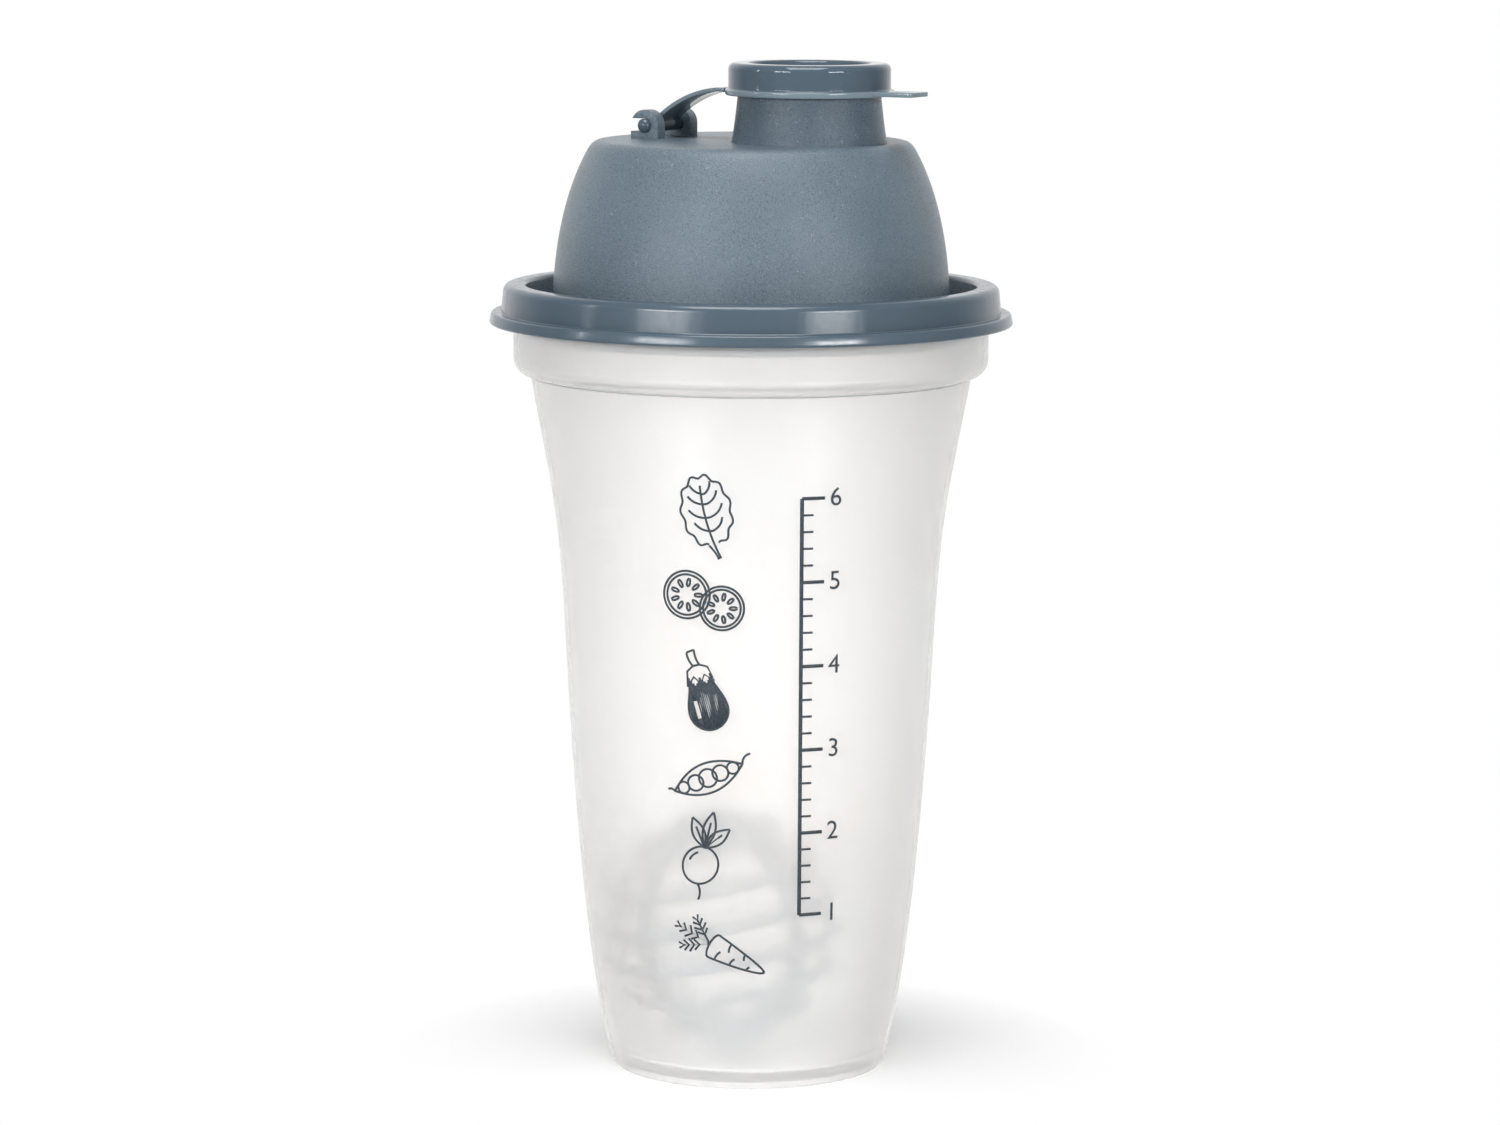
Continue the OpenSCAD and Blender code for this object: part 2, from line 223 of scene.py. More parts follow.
bpy.ops.object.select_all(action="DESELECT")
bpy.ops.mesh.primitive_plane_add(size=FLOOR_SIZE)
floor = bpy.context.object
floor.name = "studio_floor"
floor_material, tree, output, place = new_material("white_sweep")
lit = add_node(tree, "ShaderNodeBsdfDiffuse", Color=(0.97, 0.97, 0.97, 1))
white = add_node(tree, "ShaderNodeEmission", Strength=1)
from_middle = add_node(tree, "ShaderNodeVectorMath")
from_middle.operation = "LENGTH"
tree.links.new(place, from_middle.inputs[0])
fade = spread(tree, from_middle.outputs["Value"], 0, 1, 0.3 * SHADOW_REACH, SHADOW_REACH)
path = add_node(tree, "ShaderNodeLightPath")
seen = combined(tree, "MAXIMUM", path.outputs["Is Camera Ray"], path.outputs["Is Transmission Ray"])
mixer = add_node(tree, "ShaderNodeMixShader")
tree.links.new(combined(tree, "MULTIPLY", seen, fade), mixer.inputs["Fac"])
tree.links.new(lit.outputs["BSDF"], mixer.inputs[1])
tree.links.new(white.outputs["Emission"], mixer.inputs[2])
tree.links.new(mixer.outputs["Shader"], output.inputs["Surface"])
floor.data.materials.append(floor_material)
floor.visible_glossy = False
print("floor", FLOOR_SIZE, "m wide, shadow fades over", SHADOW_REACH, "m")

# %% Light the world
AMBIENT = 0.17
BACKDROP = (-sin(CAMERA_AZIMUTH), cos(CAMERA_AZIMUTH), 0)

world = bpy.data.worlds.new("studio")
bpy.context.scene.world = world
world.use_nodes = True
tree = world.node_tree
tree.nodes.clear()
output = add_node(tree, "ShaderNodeOutputWorld")
ground = add_node(tree, "ShaderNodeBackground", Color=(1, 1, 1, 1), Strength=1)
fill = add_node(tree, "ShaderNodeBackground", Color=(0.97, 0.985, 1, 1), Strength=AMBIENT)
direction = add_node(tree, "ShaderNodeTexCoord")
towards = add_node(tree, "ShaderNodeVectorMath")
towards.operation = "DOT_PRODUCT"
towards.inputs[1].default_value = BACKDROP
tree.links.new(direction.outputs["Generated"], towards.inputs[0])
behind = spread(tree, towards.outputs["Value"], 0, 1, 0.3, 0.8)
path = add_node(tree, "ShaderNodeLightPath")
gloss = combined(tree, "MULTIPLY", path.outputs["Is Glossy Ray"], behind)
clear = combined(tree, "MAXIMUM", path.outputs["Is Camera Ray"], path.outputs["Is Transmission Ray"])
mixer = add_node(tree, "ShaderNodeMixShader")
tree.links.new(combined(tree, "MAXIMUM", gloss, clear), mixer.inputs["Fac"])
tree.links.new(fill.outputs["Background"], mixer.inputs[1])
tree.links.new(ground.outputs["Background"], mixer.inputs[2])
tree.links.new(mixer.outputs["Shader"], output.inputs["Surface"])
print("world: white ground, ambient", AMBIENT)

# %% Hang the soft boxes
AIM = Vector((0, 0, 0.12))


def soft_box(name, azimuth, distance, height, size, power):
    """An area lamp beside the shaker, turned towards it. Azimuth counts from the front, to the right."""
    bpy.ops.object.light_add(
        type="AREA",
        location=(distance * sin(radians(azimuth)), -distance * cos(radians(azimuth)), height),
    )
    lamp = bpy.context.object
    lamp.name = name
    lamp.data.shape = "RECTANGLE"
    lamp.data.size, lamp.data.size_y = size
    lamp.data.energy = power
    lamp.rotation_euler = (lamp.location - AIM).to_track_quat("Z", "Y").to_euler()
    return lamp


camera_side = degrees(CAMERA_AZIMUTH)
soft_box("soft_box_left", camera_side - 39, 1.3, 0.4, (0.52, 0.17), 5.4)
soft_box("soft_box_right", camera_side + 37, 1.3, 0.38, (0.5, 0.14), 4.9)
soft_box("strip_left", camera_side - 79, 1.5, 0.5, (0.06, 0.5), 1)
soft_box("soft_box_top", camera_side - 10, 0.45, 1.5, (0.9, 0.9), 17)
front_fill = soft_box("front_fill", camera_side + 2, 1.4, 0.5, (0.9, 0.9), 2.4)
front_fill.visible_glossy = False

# %% [markdown]
# ## Finishes
# The lid's dome, top and neck have the fine spark-eroded grain of a mould: small lumps about half a millimetre wide.
# The sparkles where these lumps catch the light are light flecks in the colour: painted glints. The rim, the pull bead
# and the whole stopper are polished instead and show the soft boxes as strips, a little wavy and streaked by handling.
# Both are the same slate plastic, so both recipes start from one colour. The neck takes a darker copy of the grain, as
# painted shade, and the strap, flange and thumb tab take a paler copy of the polish, as painted light for the light
# that seeps through such thin plastic.

# %% Slate plastics
# Painted glint: the light colour of the flecks in the grain.
PAINTED_GLINT = screen(158, 172, 182)
SLATE = screen(80, 95, 107)
SLATE_DARK = screen(74, 89, 100)
GRAIN_DARK = screen(84, 98, 108)
GRAIN = screen(95, 110, 121)
GRAIN_LIGHT = screen(118, 132, 142)


def grained_slate(name, dark, middle, light):
    """Slate plastic with a fine matte grain, and light flecks in its colour as painted glints."""
    material, tree, output, place = new_material(name)
    grain = noise(tree, place, 3600, 2, 0.6)
    cloud = noise(tree, place, 60, 2)
    blend = add_node(tree, "ShaderNodeMath")
    blend.operation = "MULTIPLY_ADD"
    tree.links.new(cloud, blend.inputs[0])
    blend.inputs[1].default_value = 0.35
    tree.links.new(grain, blend.inputs[2])
    colour = ramp(tree, blend.outputs["Value"], [(0.42, dark), (0.66, middle), (0.95, light)])
    shader = add_node(tree, "ShaderNodeBsdfPrincipled", IOR=1.5)
    # Painted glints: light flecks mixed into the base colour.
    glint_spots = ramp(tree, noise(tree, place, 1900, 2, 0.7), [(0.66, (0, 0, 0, 1)), (0.76, (1, 1, 1, 1))])
    painted_glint_mix = add_node(tree, "ShaderNodeMix")
    painted_glint_mix.data_type = "RGBA"
    tree.links.new(glint_spots, painted_glint_mix.inputs[0])
    tree.links.new(colour, painted_glint_mix.inputs[6])
    painted_glint_mix.inputs[7].default_value = PAINTED_GLINT
    tree.links.new(painted_glint_mix.outputs[2], shader.inputs["Base Color"])
    shine = noise(tree, place, 3600, 1)
    tree.links.new(spread(tree, shine, 0.24, 0.44), shader.inputs["Roughness"])
    rough = bump(tree, grain, 0.32, 0.0004)
    tree.links.new(rough, shader.inputs["Normal"])
    tree.links.new(shader.outputs["BSDF"], output.inputs["Surface"])
    return material


def polished_slate(name, streaks, smoothest, roughest, dark, light):
    """Slate plastic as a polished mould leaves it, with faint streaks along the direction given."""
    material, tree, output, place = new_material(name)
    shader = add_node(tree, "ShaderNodeBsdfPrincipled", IOR=1.5)
    stretched = add_node(tree, "ShaderNodeMapping", Scale=streaks)
    tree.links.new(place, stretched.inputs["Vector"])
    streak = noise(tree, stretched.outputs["Vector"], 420, 4, 0.6)
    cloud = noise(tree, place, 45, 2)
    colour = ramp(tree, cloud, [(0.3, dark), (0.7, light)])
    tree.links.new(colour, shader.inputs["Base Color"])
    tree.links.new(spread(tree, streak, smoothest, roughest), shader.inputs["Roughness"])
    wavy = bump(tree, noise(tree, place, 160, 2), 6 * smoothest * smoothest, 0.0006)
    tree.links.new(bump(tree, streak, 0.4 * smoothest, 0.0002, wavy), shader.inputs["Normal"])
    tree.links.new(shader.outputs["BSDF"], output.inputs["Surface"])
    return material


slate_grained = grained_slate("slate_grained", GRAIN_DARK, GRAIN, GRAIN_LIGHT)
# Painted shade: a darker copy of the grained slate for the neck, under the stopper's flange.
slate_neck_painted_shade = grained_slate("slate_neck_painted_shade", SLATE_DARK, SLATE, screen(104, 119, 130))
slate_polished = polished_slate("slate_polished", (1.6, 1.6, 0.15), 0.12, 0.27, SLATE_DARK, SLATE)
slate_stopper = polished_slate("slate_stopper", (1, 1, 0.4), 0.03, 0.07, SLATE_DARK, SLATE)
# Painted light: a paler copy of the polished slate for the thin strap, flange and thumb tab.
slate_painted_paler = polished_slate("slate_painted_paler", (1, 1, 0.4), 0.08, 0.16, screen(112, 127, 136), screen(122, 137, 146))
slate_ball = polished_slate("slate_ball", (1, 1, 1), 0.2, 0.3, SLATE_DARK, SLATE)
print("slate finishes:", slate_grained.name, slate_polished.name, slate_stopper.name, slate_ball.name)

# %% [markdown]
# The tumbler is milky polypropylene. Light that meets its wall partly scatters and partly goes through, blurred, so
# the mixing ball shows only as soft grey bands. A rough transmitting Principled shader does that. Lamps can't find
# their way through such a wall by themselves, so for shadow rays alone the wall turns into a clear filter.

# %% Frosted plastic
FROST = screen(246, 246, 246)
FROST_WARM = screen(246, 244, 242)


def frosted(name, warm, cool, clearness):
    """Milky translucent plastic with a very fine surface grain."""
    material, tree, output, place = new_material(name)
    cloud = noise(tree, place, 28, 2)
    colour = ramp(tree, cloud, [(0.3, warm), (0.7, cool)])
    shader = add_node(tree, "ShaderNodeBsdfPrincipled", IOR=1.45, Transmission_Weight=clearness)
    tree.links.new(colour, shader.inputs["Base Color"])
    grain = noise(tree, place, 700, 3)
    tree.links.new(spread(tree, grain, 0.22, 0.26), shader.inputs["Roughness"])
    flow = noise(tree, place, 110, 2)
    tree.links.new(bump(tree, flow, 0.08, 0.0006), shader.inputs["Normal"])
    clear = add_node(tree, "ShaderNodeBsdfTransparent", Color=(0.86, 0.86, 0.855, 1))
    path = add_node(tree, "ShaderNodeLightPath")
    mixer = add_node(tree, "ShaderNodeMixShader")
    tree.links.new(path.outputs["Is Shadow Ray"], mixer.inputs["Fac"])
    tree.links.new(shader.outputs["BSDF"], mixer.inputs[1])
    tree.links.new(clear.outputs["BSDF"], mixer.inputs[2])
    tree.links.new(mixer.outputs["Shader"], output.inputs["Surface"])
    return material


def printed_ink():
    """Dark slate ink, a little uneven where the pad left less of it."""
    material, tree, output, place = new_material("print_ink")
    patchy = noise(tree, place, 1900, 3)
    colour = ramp(tree, patchy, [(0.3, screen(48, 57, 65)), (0.75, screen(74, 84, 92))])
    shader = add_node(tree, "ShaderNodeBsdfPrincipled")
    tree.links.new(colour, shader.inputs["Base Color"])
    tree.links.new(spread(tree, patchy, 0.45, 0.7), shader.inputs["Roughness"])
    tree.links.new(shader.outputs["BSDF"], output.inputs["Surface"])
    return material


frosted_wall = frosted("frosted_wall", FROST_WARM, FROST, 0.64)
# Painted shade: a darker, nearly opaque copy of the frosted plastic, for the dark line in the collar's crease.
frosted_painted_crease_shade = frosted("frosted_painted_crease_shade", screen(196, 197, 195), screen(202, 204, 203), 0.1)
ink = printed_ink()
print("finishes for tumbler and print:", frosted_wall.name, ink.name)

# %% [markdown]
# ## Turned forms
# Tumbler, lid, spout and stopper are round, so each is made as on a lathe: a circle is added at the start of a
# profile, then extruded and scaled from ring to ring, as one would by hand with E and S. A profile is a list of
# (radius, height) points, and its round stretches come from `arc` and `ease`, which are the curves that the CAD
# source uses as well. Where the profile comes back to its start, the last ring is merged with the first.

# %% Helpers for profiles and turning
SEGMENTS = 144


def arc(centre, radius, start, end, steps=8):
    """Points of an arc about a centre, between two angles in degrees."""
    angles = [radians(start + (end - start) * i / steps) for i in range(steps + 1)]
    return [(centre[0] + radius * cos(a), centre[1] + radius * sin(a)) for a in angles]


def mix(a, b, amount):
    return a + (b - a) * amount


def ease(a, d, b_share, c_share, steps=22):
    """Points of a cubic curve, whose handles are shares of its width and height."""
    b = (mix(a[0], d[0], b_share[0]), mix(a[1], d[1], b_share[1]))
    c = (mix(a[0], d[0], c_share[0]), mix(a[1], d[1], c_share[1]))
    points = []
    for i in range(steps + 1):
        t = i / steps
        u = 1 - t
        weights = (u**3, 3 * u * u * t, 3 * u * t * t, t**3)
        points.append(tuple(sum(w * p[k] for w, p in zip(weights, (a, b, c, d))) for k in (0, 1)))
    return points


def moved(points, dr, dz):
    return [(r + dr, z + dz) for r, z in points]


def smooth(piece, angle=32):
    """Shade smoothly, and keep edges sharper than the angle."""
    bpy.ops.object.select_all(action="DESELECT")
    piece.select_set(True)
    bpy.context.view_layer.objects.active = piece
    bpy.ops.object.shade_smooth_by_angle(angle=radians(angle))


def turned(name, profile, centre=(0, 0), closed=False, segments=SEGMENTS):
    """Turn a profile in millimetres about an upright axis, as a closed shell."""
    bpy.ops.object.select_all(action="DESELECT")
    radius, height = profile[0]
    bpy.ops.mesh.primitive_circle_add(
        vertices=segments, radius=radius * MM, location=(centre[0] * MM, centre[1] * MM, height * MM),
        fill_type="NOTHING" if closed else "NGON",
    )
    piece = bpy.context.object
    piece.name = name
    piece.data.name = name
    bpy.ops.object.transform_apply(location=True, rotation=False, scale=False)
    bpy.ops.object.mode_set(mode="EDIT")
    bpy.ops.mesh.select_mode(type="VERT")
    bpy.ops.mesh.select_all(action="SELECT")
    for (r0, z0), (r1, z1) in zip(profile, profile[1:]):
        bpy.ops.mesh.extrude_region_move(TRANSFORM_OT_translate={"value": (0, 0, (z1 - z0) * MM)})
        if r1 != r0:
            bpy.ops.transform.resize(
                value=(r1 / r0, r1 / r0, 1), center_override=(centre[0] * MM, centre[1] * MM, z1 * MM)
            )
    bpy.ops.mesh.select_all(action="SELECT")
    if closed:
        bpy.ops.mesh.remove_doubles(threshold=0.002 * MM)
    bpy.ops.mesh.normals_make_consistent(inside=False)
    bpy.ops.object.mode_set(mode="OBJECT")
    smooth(piece)
    return piece


def finish_piece(piece, body, slot, *materials, stands_for=()):
    """Give a piece its finishes, its body and the CAD nodes that it stands for. The slot argument is not used."""
    for material in materials:
        piece.data.materials.append(material)
    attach(piece, body)
    if stands_for:
        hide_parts(*stands_for)
    print(f"{piece.name}: {len(piece.data.polygons)} faces on {body}")


# %% [markdown]
# ## Tumbler
# One thin moulding. Its wall bulges up to the waist and then flares to the mouth, where a wider collar stands out. The
# collar rounds back into the wall at a crisp crease that shows as a fine dark line, and the tumbler stands on a narrow
# foot ring. The inner wall follows the outer one at the wall's thickness, down to a round corner at the floor. The
# crease's faces take a darker, duller copy of the frosted finish, as painted shade for that dark line.

# %% Turn the tumbler
FOOT_R = 27.4
WAIST = (36.3, 80)
MOUTH_R = 43.5
COLLAR_Z = LIP_Z - 15.1
COLLAR_STEP = COLLAR_R - MOUTH_R
WALL = 1.6
FLOOR_Z = 3.2
FOOT_RECESS = 1.2
FOOT_RING_W = 2.6
FOOT_ROUND = 0.8
FLOOR_FILLET = 3
LIP_ROUND = WALL / 2
CREASE = 0.28

lower_wall = ease((FOOT_R, FOOT_ROUND), WAIST, (0.63, 0.253), (0.914, 0.823))
upper_wall = ease(WAIST, (MOUTH_R, COLLAR_Z - CREASE), (0.229, 0.565), (0.325, 0.538))
outer_wall = lower_wall + upper_wall[1:]
inner_wall = [p for p in moved(outer_wall, -WALL, 0) if p[1] > FLOOR_Z + FLOOR_FILLET]
tumbler_profile = [
    (FOOT_R - FOOT_RING_W - FOOT_RECESS / 2, FOOT_RECESS),
    (FOOT_R - FOOT_RING_W - 0.15, 0.15),
    (FOOT_R - FOOT_RING_W + 0.1, 0),
]
tumbler_profile += arc((FOOT_R - FOOT_ROUND, FOOT_ROUND), FOOT_ROUND, -90, -15)
tumbler_profile += outer_wall
tumbler_profile += [(MOUTH_R - CREASE, COLLAR_Z), (MOUTH_R + 0.3, COLLAR_Z + 0.02)]
tumbler_profile += arc((MOUTH_R, COLLAR_Z + COLLAR_STEP), COLLAR_STEP, -78, 0, 12)
tumbler_profile += arc((COLLAR_R - LIP_ROUND, LIP_Z - LIP_ROUND), LIP_ROUND, 0, 180, 12)
tumbler_profile += arc((MOUTH_R, COLLAR_Z + COLLAR_STEP), COLLAR_STEP - WALL, 0, -90)
tumbler_profile += [(MOUTH_R - WALL, COLLAR_Z + WALL)]
tumbler_profile += inner_wall[::-1]
corner_r = inner_wall[0][0] - FLOOR_FILLET
tumbler_profile += arc((corner_r, FLOOR_Z + FLOOR_FILLET), FLOOR_FILLET, 0, -90)
tumbler = turned("tumbler_wall", tumbler_profile)
finish_piece(tumbler, "tumbler", "frosted_plastic", frosted_wall, frosted_painted_crease_shade, stands_for=["tumbler"])
# Painted shade: the faces in the collar's crease take the darker frosted copy.
for face in tumbler.data.polygons:
    radius = sqrt(face.center.x**2 + face.center.y**2) / MM
    if radius > MOUTH_R - WALL / 2 and abs(face.center.z / MM - COLLAR_Z) < 0.15:
        face.material_index = 1

# %% [markdown]
# ## Print on the tumbler
# The real tumbler carries a drawing in dark slate ink. A generic one stands in its place: a measuring scale with
# plain numbers, and salad vegetables beside it. Each line is a poly curve with a thin flat section, like a
# pen stroke. The strokes are drawn on a flat sheet, then bent round the wall by one function that knows the
# wall's radius at each height.

# %% Helpers for pen strokes
INK_PROUD = 0.04
PRINT_SIDE = CAMERA_AZIMUTH


def wall_radius(height):
    """The tumbler's outer radius at a height, in millimetres."""
    for (r0, z0), (r1, z1) in zip(outer_wall, outer_wall[1:]):
        if z0 <= height <= z1:
            return mix(r0, r1, (height - z0) / (z1 - z0))
    return outer_wall[-1][0]


def placed(points, x, z, size=1, turn=0):
    """Points of a motif, scaled, turned by degrees and moved to its place on the sheet."""
    c, s = cos(radians(turn)), sin(radians(turn))
    return [(x + size * (c * u - s * v), z + size * (s * u + c * v)) for u, v in points]


def ring_points(radius_x, radius_z, waves=0, depth=0, start=0, end=360, steps=48):
    """An ellipse or a stretch of one, with wavy edges if waves are given."""
    points = []
    for i in range(steps + 1):
        a = radians(start + (end - start) * i / steps)
        r = 1 + depth * sin(waves * a)
        points.append((radius_x * r * cos(a), radius_z * r * sin(a)))
    return points


def bent_line(a, b, sag=0, steps=12):
    """A line from a to b that bows to its left by sag times its length."""
    points = []
    for i in range(steps + 1):
        t = i / steps
        bow = sag * 4 * t * (1 - t)
        points.append((mix(a[0], b[0], t) - bow * (b[1] - a[1]), mix(a[1], b[1], t) + bow * (b[0] - a[0])))
    return points


# %% [markdown]
# The vegetables are small line drawings, each a function that returns its strokes. They are drawn about their own
# middle at ten millimetres or so, so that they can be placed and turned freely.

# %% Draw the motifs


def radish():
    body = ring_points(3.6, 3.9, 2, 0.03)
    root = bent_line((0.3, -3.8), (1.3, -7), 0.14)
    shine = ring_points(2.4, 2.7, start=115, end=170, steps=10)
    strokes = [body, root, shine]
    for lean, tall in ((-38, 6.4), (0, 7.6), (36, 6.6)):
        blade = [(1.25 * sin(pi * t / 10), tall * t / 10) for t in range(11)]
        other = [(-1.25 * sin(pi * t / 10), tall * t / 10) for t in range(11)]
        strokes += [placed(blade, 0, 3.7, 1, lean), placed(other, 0, 3.7, 1, lean)]
        strokes.append(placed([(0, 0.4), (0, tall * 0.7)], 0, 3.7, 1, lean))
    return strokes


def carrot():
    top, tip, half = 4.2, -8.6, 2.9

    def width(height):
        return half * max(0, (height - tip) / (top - tip)) ** 0.62

    heights = [mix(top, tip, k / 16) for k in range(17)]
    left = [(-width(z), z) for z in heights]
    right = [(width(z), z) for z in heights]
    crown = ring_points(half, 1.1, start=180, end=0, steps=14)
    strokes = [placed(crown, 0, top), left, right]
    for height, side, wide in ((2.6, -1, 2.3), (0.9, 1, 2), (-0.9, -1, 1.8), (-2.9, 1, 1.4), (-4.7, -1, 1)):
        edge = side * width(height)
        strokes.append(bent_line((edge, height), (edge - side * wide, height - 0.35), -0.1 * side, 6))
    for lean, long in ((-34, 6.2), (0, 8), (34, 6.2)):
        strokes.append(placed([(0, 0), (0, long)], 0, top + 1, 1, lean))
        for share, wide in ((0.38, 1.2), (0.58, 1.5), (0.78, 1.2), (0.97, 0.7)):
            up = long * share
            strokes.append(placed([(-wide, up + 1.2), (0, up), (wide, up + 1.2)], 0, top + 1, 1, lean))
    return strokes


def cucumber_slices():
    strokes = []
    for x, z, size in ((-3.2, 0.9, 1), (3.4, -1.4, 0.92)):
        strokes.append(placed(ring_points(4.4, 4.4), x, z, size))
        strokes.append(placed(ring_points(3.75, 3.75), x, z, size))
        for k in range(9):
            seed = ring_points(0.75, 0.3, steps=14)
            angle = 40 * k
            at = (2.3 * cos(radians(angle)), 2.3 * sin(radians(angle)))
            strokes.append(placed(placed(seed, at[0], at[1], 1, angle), x, z, size))
    return strokes


def lettuce_leaf():
    edge = ring_points(4.3, 6.2, 11, 0.055, -78, 258, 110)
    strokes = [edge, bent_line((0.6, -8.6), (0, 4.6), 0.05)]
    strokes.append(bent_line((-0.9, -6), (0.2, -8.7), 0.05, 5))
    for up, long in ((-3.6, 2.5), (-1.2, 3), (1.2, 2.6), (3, 1.8)):
        for side in (-1, 1):
            strokes.append(bent_line((0.35, up), (side * long, up + 2), -0.14 * side, 8))
    return strokes


def pea_pod():
    strokes = [bent_line((-8, 0), (8, 0), 0.2, 24), bent_line((-8, 0), (8, 0), -0.2, 24)]
    strokes += [bent_line((8, 0), (10.4, 1.4), 0.2, 6), bent_line((-8, 0), (-9.3, 0.9), -0.2, 5)]
    for k, size in enumerate((1.25, 1.7, 1.95, 1.7, 1.25)):
        strokes.append(placed(ring_points(1, 1, steps=26), (k - 2) * 2.9, 0, size))
    return strokes


def aubergine():
    """A solid shape, drawn by hatching it closely, as a pen fills a dark area, with a glint left open."""
    belly, neck, rise, low = 4.1, 2.3, 7.4, -3.4
    shoulder = [neck + (belly - neck) * (0.5 + 0.5 * cos(pi * k / 12)) for k in range(13)]
    right = [(w, low + rise * k / 12) for k, w in enumerate(shoulder)]
    bowl = ring_points(belly, belly, start=180, end=360, steps=30)
    strokes = [placed(bowl, 0, low), right, [(-x, z) for x, z in right]]
    step = 0.4
    for k in range(-9, 10):
        x = k * step
        bottom = low - sqrt(belly**2 - x**2)
        zigzag = 2.1 + 1.5 * abs((abs(x) / 1.15) % 2 - 1)
        top = zigzag if abs(x) < neck else low + rise * acos(2 * (abs(x) - neck) / (belly - neck) - 1) / pi
        pieces = [(bottom, -4.6), (-0.9, min(top, zigzag))] if k in (-6, -5) else [(bottom, min(top, zigzag))]
        strokes += [[(x, z0), (x, z1)] for z0, z1 in pieces]
    crown = [(-2.9, 2.3), (-1.15, 4), (0, 2.3), (1.15, 4), (2.9, 2.3), (2.2, 5.4), (0.7, 6.2)]
    crown += [(-0.7, 6.2), (-2.2, 5.4), (-2.9, 2.3)]
    strokes += [crown, bent_line((-0.7, 6.2), (-1.3, 9.2), 0.08, 6), bent_line((0.7, 6.2), (0.4, 9.4), 0.08, 6)]
    strokes.append([(-1.3, 9.2), (0.4, 9.4)])
    return strokes


print("motifs:", ", ".join(f.__name__ for f in (radish, carrot, cucumber_slices, lettuce_leaf, pea_pod, aubergine)))

# %% [markdown]
# The strokes of one thickness share a curve object. Its round section is flattened to a thin film, and the film is
# wrapped on the wall. The numbers are Blender's own plain font, made a mesh and divided finely enough to bend.

# %% Lay out the sheet
SCALE_X = 10
SCALE_LOW = 36
SCALE_STEP = 16.5
SCALE_MARKS = 6
motif_places = [
    (lettuce_leaf, -8.5, 116, 1.12, 14),
    (cucumber_slices, -9, 98.5, 1.06, 0),
    (aubergine, -8.8, 80, 0.95, 16),
    (pea_pod, -8, 63.5, 0.92, 24),
    (radish, -9.5, 46, 0.98, -14),
    (carrot, -3.5, 28, 0.88, 62),
]
thin_strokes = []
for motif, x, z, size, turn in motif_places:
    thin_strokes += [placed(stroke, x, z, size, turn) for stroke in motif()]
scale_top = SCALE_LOW + SCALE_STEP * (SCALE_MARKS - 1)
bold_strokes = [[(SCALE_X, mix(SCALE_LOW, scale_top, k / 40)) for k in range(41)]]
for k in range((SCALE_MARKS - 1) * 5 + 1):
    z = SCALE_LOW + SCALE_STEP * k / 5
    whole = k % 5 == 0
    reach = 4.6 if whole else 2.3
    (bold_strokes if whole else thin_strokes).append(bent_line((SCALE_X, z), (SCALE_X + reach, z), 0, 4))
print(len(thin_strokes), "thin and", len(bold_strokes), "bold strokes")

# %% Ink the strokes and numbers


def pen(name, strokes, width):
    """Poly curves with a round section of the pen's width, made a mesh and flattened."""
    bpy.ops.object.select_all(action="DESELECT")
    curve = bpy.data.curves.new(name, "CURVE")
    curve.dimensions = "3D"
    curve.bevel_depth = width / 2 * MM
    curve.bevel_resolution = 1
    curve.use_fill_caps = True
    for stroke in strokes:
        spline = curve.splines.new("POLY")
        spline.points.add(len(stroke) - 1)
        for point, (x, z) in zip(spline.points, stroke):
            point.co = (x * MM, 0, z * MM, 1)
    piece = bpy.data.objects.new(name, curve)
    bpy.context.collection.objects.link(piece)
    piece.select_set(True)
    bpy.context.view_layer.objects.active = piece
    bpy.ops.object.convert(target="MESH")
    piece = bpy.context.object
    bpy.ops.object.mode_set(mode="EDIT")
    bpy.ops.mesh.select_all(action="SELECT")
    bpy.ops.transform.resize(value=(1, INK_PROUD * 2 / width, 1), center_override=(0, 0, 0))
    bpy.ops.mesh.remove_doubles(threshold=0.001 * MM)
    bpy.ops.object.mode_set(mode="OBJECT")
    return piece


def number(text, x, z, size):
    """A plain number on the sheet, thin and finely divided."""
    bpy.ops.object.select_all(action="DESELECT")
    bpy.ops.object.text_add(rotation=(radians(90), 0, 0), location=(x * MM, 0, z * MM))
    piece = bpy.context.object
    piece.data.body = text
    piece.data.size = size * MM
    piece.data.align_y = "CENTER"
    piece.data.extrude = INK_PROUD * MM
    bpy.ops.object.convert(target="MESH")
    bpy.ops.object.transform_apply(location=True, rotation=True, scale=True)
    bpy.ops.object.mode_set(mode="EDIT")
    bpy.ops.mesh.select_all(action="SELECT")
    bpy.ops.mesh.remove_doubles(threshold=0.001 * MM)
    bpy.ops.mesh.quads_convert_to_tris()
    bpy.ops.mesh.subdivide(number_cuts=2)
    bpy.ops.object.mode_set(mode="OBJECT")
    return piece


def wrapped(piece):
    """Bend the flat sheet round the tumbler's wall, with the print's middle towards the front."""
    for vertex in piece.data.vertices:
        x, y, z = (c / MM for c in vertex.co)
        radius = wall_radius(z)
        angle = x / radius
        out = radius - y
        vertex.co = Vector((out * sin(angle), -out * cos(angle), z)) * MM
    piece.data.transform(Matrix.Rotation(PRINT_SIDE, 4, "Z"))


inked = [pen("print_thin", thin_strokes, 0.5), pen("print_bold", bold_strokes, 0.78)]
for k in range(SCALE_MARKS):
    inked.append(number(str(k + 1), SCALE_X + 5.6, SCALE_LOW + SCALE_STEP * k, 5.2))
for part in inked:
    wrapped(part)
bpy.ops.object.select_all(action="DESELECT")
for part in inked:
    part.select_set(True)
bpy.context.view_layer.objects.active = inked[0]
bpy.ops.object.join()
design = bpy.context.object
design.name = "print_design"
finish_piece(design, "tumbler", "frosted_plastic", ink)

